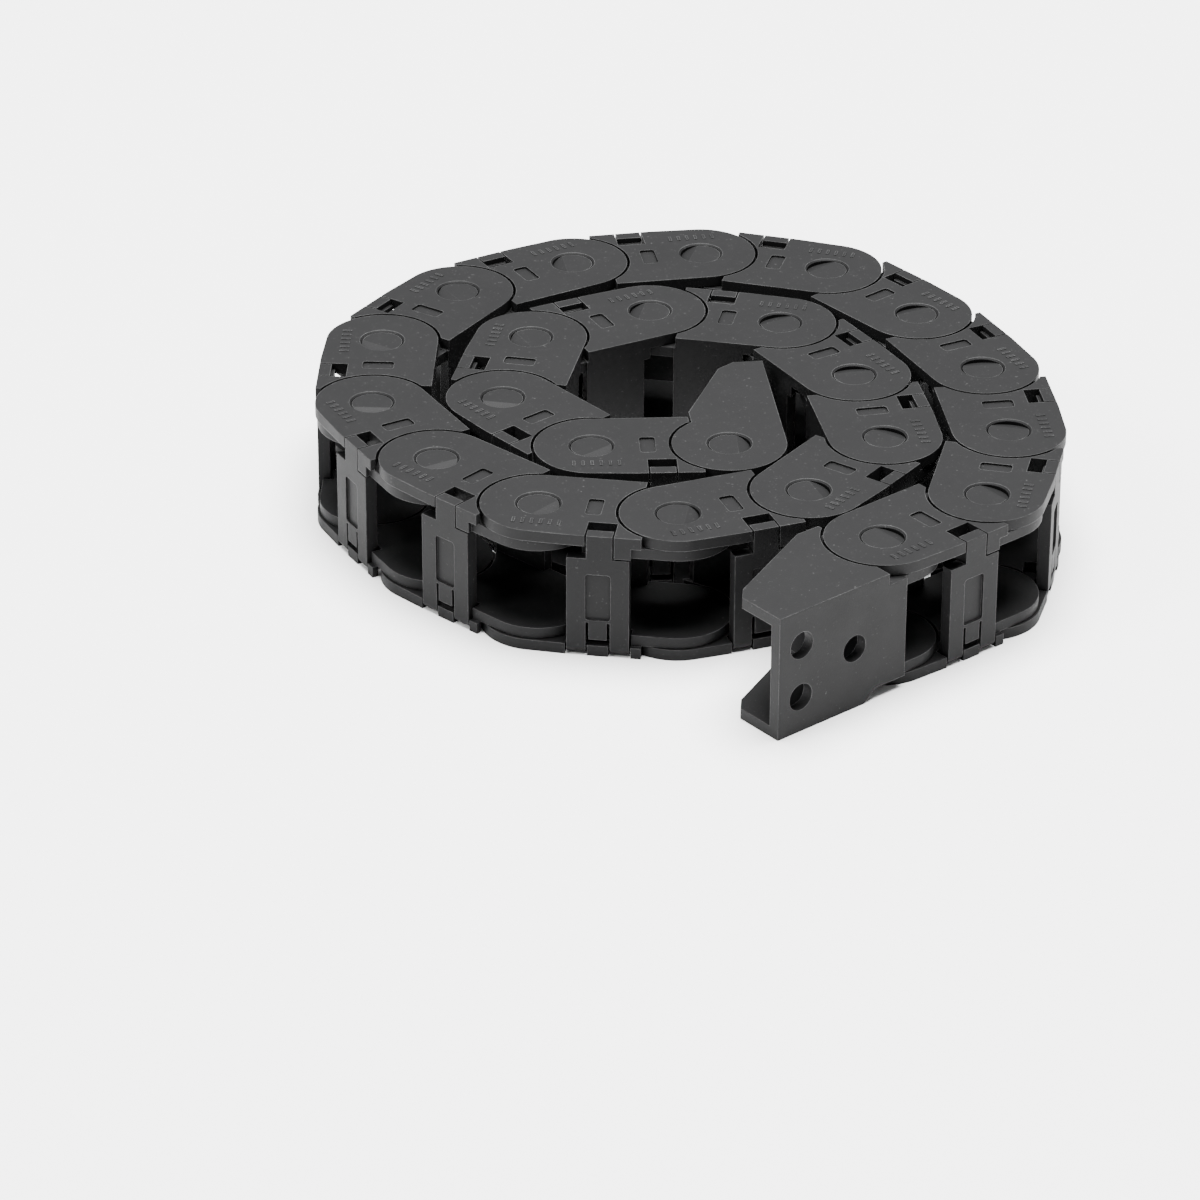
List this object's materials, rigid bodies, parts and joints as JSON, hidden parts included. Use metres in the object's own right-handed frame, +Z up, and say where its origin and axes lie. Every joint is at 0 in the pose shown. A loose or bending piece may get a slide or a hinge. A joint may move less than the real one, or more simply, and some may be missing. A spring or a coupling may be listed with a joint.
{
  "type": "cable drag chain",
  "caption": "Wound cable drag chain: hinged open-frame links with snap-open lids, and a screw-on end bracket at each end.",
  "frame": {"origin": "on the plane the coil lies on, straight below the outer bracket's two end screws' holes, 6.95 mm inside the face that is screwed on", "axes": "+X from the outer bracket's end screws towards its hinge, -Y out of the wall that is screwed on, +Z up, along every hinge pin"},
  "size_m": [0.0815, 0.0925, 0.0155],
  "materials": {
    "nylon": "fine-grained moulded black nylon",
    "lid_nylon": "fine-grained moulded black nylon"
  },
  "bodies": {
    "outer_bracket": {"outer_bracket": "nylon"},
    "link_01": {"link_01": "nylon"},
    "link_02": {"link_02": "nylon"},
    "link_03": {"link_03": "nylon"},
    "link_04": {"link_04": "nylon"},
    "link_05": {"link_05": "nylon"},
    "link_06": {"link_06": "nylon"},
    "link_07": {"link_07": "nylon"},
    "link_08": {"link_08": "nylon"},
    "link_09": {"link_09": "nylon"},
    "link_10": {"link_10": "nylon"},
    "link_11": {"link_11": "nylon"},
    "link_12": {"link_12": "nylon"},
    "link_13": {"link_13": "nylon"},
    "link_14": {"link_14": "nylon"},
    "link_15": {"link_15": "nylon"},
    "link_16": {"link_16": "nylon"},
    "link_17": {"link_17": "nylon"},
    "link_18": {"link_18": "nylon"},
    "link_19": {"link_19": "nylon"},
    "link_20": {"link_20": "nylon"},
    "link_21": {"link_21": "nylon"},
    "link_22": {"link_22": "nylon"},
    "lid_01": {"lid_01": "lid_nylon"},
    "lid_02": {"lid_02": "lid_nylon"},
    "lid_03": {"lid_03": "lid_nylon"},
    "lid_04": {"lid_04": "lid_nylon"},
    "lid_05": {"lid_05": "lid_nylon"},
    "lid_06": {"lid_06": "lid_nylon"},
    "lid_07": {"lid_07": "lid_nylon"},
    "lid_08": {"lid_08": "lid_nylon"},
    "lid_09": {"lid_09": "lid_nylon"},
    "lid_10": {"lid_10": "lid_nylon"},
    "lid_11": {"lid_11": "lid_nylon"},
    "lid_12": {"lid_12": "lid_nylon"},
    "lid_13": {"lid_13": "lid_nylon"},
    "lid_14": {"lid_14": "lid_nylon"},
    "lid_15": {"lid_15": "lid_nylon"},
    "lid_16": {"lid_16": "lid_nylon"},
    "lid_17": {"lid_17": "lid_nylon"},
    "lid_18": {"lid_18": "lid_nylon"},
    "lid_19": {"lid_19": "lid_nylon"},
    "lid_20": {"lid_20": "lid_nylon"},
    "lid_21": {"lid_21": "lid_nylon"},
    "lid_22": {"lid_22": "lid_nylon"},
    "inner_bracket": {"inner_bracket": "nylon"}
  },
  "joints": [
    {"name": "hinge_01", "type": "hinge", "parent": "outer_bracket", "child": "link_01", "pos_m": [0.0181, 0, 0.00775], "axis": [0, 0, -1], "range_deg": [-15.5, 0]},
    {"name": "hinge_02", "type": "hinge", "parent": "link_01", "child": "link_02", "pos_m": [0.0341, 0, 0.00775], "axis": [0, 0, -1], "range_deg": [0, 38]},
    {"name": "hinge_03", "type": "hinge", "parent": "link_02", "child": "link_03", "pos_m": [0.04671, 0.00985, 0.00775], "axis": [0, 0, -1], "range_deg": [0, 20]},
    {"name": "hinge_04", "type": "hinge", "parent": "link_03", "child": "link_04", "pos_m": [0.05519, 0.02342, 0.00775], "axis": [0, 0, -1], "range_deg": [0, 19]},
    {"name": "hinge_05", "type": "hinge", "parent": "link_04", "child": "link_05", "pos_m": [0.05879, 0.03901, 0.00775], "axis": [0, 0, -1], "range_deg": [0, 14]},
    {"name": "hinge_06", "type": "hinge", "parent": "link_05", "child": "link_06", "pos_m": [0.05851, 0.05501, 0.00775], "axis": [0, 0, -1], "range_deg": [0, 34]},
    {"name": "hinge_07", "type": "hinge", "parent": "link_06", "child": "link_07", "pos_m": [0.04933, 0.06811, 0.00775], "axis": [0, 0, -1], "range_deg": [0, 25]},
    {"name": "hinge_08", "type": "hinge", "parent": "link_07", "child": "link_08", "pos_m": [0.03547, 0.07611, 0.00775], "axis": [0, 0, -1], "range_deg": [0, 20]},
    {"name": "hinge_09", "type": "hinge", "parent": "link_08", "child": "link_09", "pos_m": [0.01972, 0.07889, 0.00775], "axis": [0, 0, -1], "range_deg": [0, 27]},
    {"name": "hinge_10", "type": "hinge", "parent": "link_09", "child": "link_10", "pos_m": [0.00441, 0.07421, 0.00775], "axis": [0, 0, -1], "range_deg": [0, 0.6]},
    {"name": "hinge_11", "type": "hinge", "parent": "link_10", "child": "link_11", "pos_m": [-0.00629, 0.06232, 0.00775], "axis": [0, 0, -1], "range_deg": [0, 0.3]},
    {"name": "hinge_12", "type": "hinge", "parent": "link_11", "child": "link_12", "pos_m": [-0.00907, 0.04657, 0.00775], "axis": [0, 0, -1], "range_deg": [0, 0.25]},
    {"name": "hinge_13", "type": "hinge", "parent": "link_12", "child": "link_13", "pos_m": [-0.00684, 0.03072, 0.00775], "axis": [0, 0, -1], "range_deg": [0, 0.3]},
    {"name": "hinge_14", "type": "hinge", "parent": "link_13", "child": "link_14", "pos_m": [0.00386, 0.01883, 0.00775], "axis": [0, 0, -1], "range_deg": [0, 0.5]},
    {"name": "hinge_15", "type": "hinge", "parent": "link_14", "child": "link_15", "pos_m": [0.01899, 0.01362, 0.00775], "axis": [0, 0, -1], "range_deg": [0, 1.2]},
    {"name": "hinge_16", "type": "hinge", "parent": "link_15", "child": "link_16", "pos_m": [0.03445, 0.01776, 0.00775], "axis": [0, 0, -1], "range_deg": [0, 1.3]},
    {"name": "hinge_17", "type": "hinge", "parent": "link_16", "child": "link_17", "pos_m": [0.0422, 0.03176, 0.00775], "axis": [0, 0, -1], "range_deg": [0, 2.4]},
    {"name": "hinge_18", "type": "hinge", "parent": "link_17", "child": "link_18", "pos_m": [0.04443, 0.0476, 0.00775], "axis": [0, 0, -1], "range_deg": [0, 2.4]},
    {"name": "hinge_19", "type": "hinge", "parent": "link_18", "child": "link_19", "pos_m": [0.03436, 0.06004, 0.00775], "axis": [0, 0, -1], "range_deg": [0, 2.4]},
    {"name": "hinge_20", "type": "hinge", "parent": "link_19", "child": "link_20", "pos_m": [0.01877, 0.06364, 0.00775], "axis": [0, 0, -1], "range_deg": [0, 1]},
    {"name": "hinge_21", "type": "hinge", "parent": "link_20", "child": "link_21", "pos_m": [0.00634, 0.05357, 0.00775], "axis": [0, 0, -1], "range_deg": [0, 0.5]},
    {"name": "hinge_22", "type": "hinge", "parent": "link_21", "child": "link_22", "pos_m": [0.00662, 0.03757, 0.00775], "axis": [0, 0, -1], "range_deg": [0, 0.7]},
    {"name": "hinge_23", "type": "hinge", "parent": "link_22", "child": "inner_bracket", "pos_m": [0.01939, 0.02794, 0.00775], "axis": [0, 0, -1], "range_deg": [0, 1.9]},
    {"name": "lid_01_hinge", "type": "hinge", "parent": "link_01", "child": "lid_01", "pos_m": [0.0261, -0.0061, 0.00105], "axis": [1, 0, 0], "range_deg": [0, 90]},
    {"name": "lid_02_hinge", "type": "hinge", "parent": "link_02", "child": "lid_02", "pos_m": [0.04416, 0.00012, 0.00105], "axis": [0.788, 0.6157, 0], "range_deg": [0, 90]},
    {"name": "lid_03_hinge", "type": "hinge", "parent": "link_03", "child": "lid_03", "pos_m": [0.05612, 0.0134, 0.00105], "axis": [0.5299, 0.848, 0], "range_deg": [0, 90]},
    {"name": "lid_04_hinge", "type": "hinge", "parent": "link_04", "child": "lid_04", "pos_m": [0.06293, 0.02984, 0.00105], "axis": [0.225, 0.9744, 0], "range_deg": [0, 90]},
    {"name": "lid_05_hinge", "type": "hinge", "parent": "link_05", "child": "lid_05", "pos_m": [0.06475, 0.04711, 0.00105], "axis": [-0.0175, 0.9998, 0], "range_deg": [0, 90]},
    {"name": "lid_06_hinge", "type": "hinge", "parent": "link_06", "child": "lid_06", "pos_m": [0.05892, 0.06506, 0.00105], "axis": [-0.5736, 0.8192, 0], "range_deg": [0, 90]},
    {"name": "lid_07_hinge", "type": "hinge", "parent": "link_07", "child": "lid_07", "pos_m": [0.04545, 0.0774, 0.00105], "axis": [-0.866, 0.5, 0], "range_deg": [0, 90]},
    {"name": "lid_08_hinge", "type": "hinge", "parent": "link_08", "child": "lid_08", "pos_m": [0.02865, 0.08351, 0.00105], "axis": [-0.9848, 0.1736, 0], "range_deg": [0, 90]},
    {"name": "lid_09_hinge", "type": "hinge", "parent": "link_09", "child": "lid_09", "pos_m": [0.01028, 0.08239, 0.00105], "axis": [-0.9563, -0.2924, 0], "range_deg": [0, 90]},
    {"name": "lid_10_hinge", "type": "hinge", "parent": "link_10", "child": "lid_10", "pos_m": [-0.00547, 0.07235, 0.00105], "axis": [-0.6691, -0.7431, 0], "range_deg": [0, 90]},
    {"name": "lid_11_hinge", "type": "hinge", "parent": "link_11", "child": "lid_11", "pos_m": [-0.01369, 0.0555, 0.00105], "axis": [-0.1736, -0.9848, 0], "range_deg": [0, 90]},
    {"name": "lid_12_hinge", "type": "hinge", "parent": "link_12", "child": "lid_12", "pos_m": [-0.014, 0.0378, 0.00105], "axis": [0.1392, -0.9903, 0], "range_deg": [0, 90]},
    {"name": "lid_13_hinge", "type": "hinge", "parent": "link_13", "child": "lid_13", "pos_m": [-0.00602, 0.0207, 0.00105], "axis": [0.6691, -0.7431, 0], "range_deg": [0, 90]},
    {"name": "lid_14_hinge", "type": "hinge", "parent": "link_14", "child": "lid_14", "pos_m": [0.00944, 0.01046, 0.00105], "axis": [0.9455, -0.3256, 0], "range_deg": [0, 14]},
    {"name": "lid_15_hinge", "type": "hinge", "parent": "link_15", "child": "lid_15", "pos_m": [0.0283, 0.0098, 0.00105], "axis": [0.9659, 0.2588, 0], "range_deg": [0, 6.5]},
    {"name": "lid_16_hinge", "type": "hinge", "parent": "link_16", "child": "lid_16", "pos_m": [0.04366, 0.0218, 0.00105], "axis": [0.4848, 0.8746, 0], "range_deg": [0, 4.5]},
    {"name": "lid_17_hinge", "type": "hinge", "parent": "link_17", "child": "lid_17", "pos_m": [0.04936, 0.03883, 0.00105], "axis": [0.1392, 0.9903, 0], "range_deg": [0, 6]},
    {"name": "lid_18_hinge", "type": "hinge", "parent": "link_18", "child": "lid_18", "pos_m": [0.04414, 0.05766, 0.00105], "axis": [-0.6293, 0.7771, 0], "range_deg": [0, 10]},
    {"name": "lid_19_hinge", "type": "hinge", "parent": "link_19", "child": "lid_19", "pos_m": [0.02794, 0.06778, 0.00105], "axis": [-0.9744, 0.225, 0], "range_deg": [0, 7]},
    {"name": "lid_20_hinge", "type": "hinge", "parent": "link_20", "child": "lid_20", "pos_m": [0.00872, 0.06334, 0.00105], "axis": [-0.7771, -0.6293, 0], "range_deg": [0, 5]},
    {"name": "lid_21_hinge", "type": "hinge", "parent": "link_21", "child": "lid_21", "pos_m": [0.00038, 0.04546, 0.00105], "axis": [0.0175, -0.9998, 0], "range_deg": [0, 5.5]},
    {"name": "lid_22_hinge", "type": "hinge", "parent": "link_22", "child": "lid_22", "pos_m": [0.00933, 0.02788, 0.00105], "axis": [0.7986, -0.6018, 0], "range_deg": [0, 9]}
  ]
}
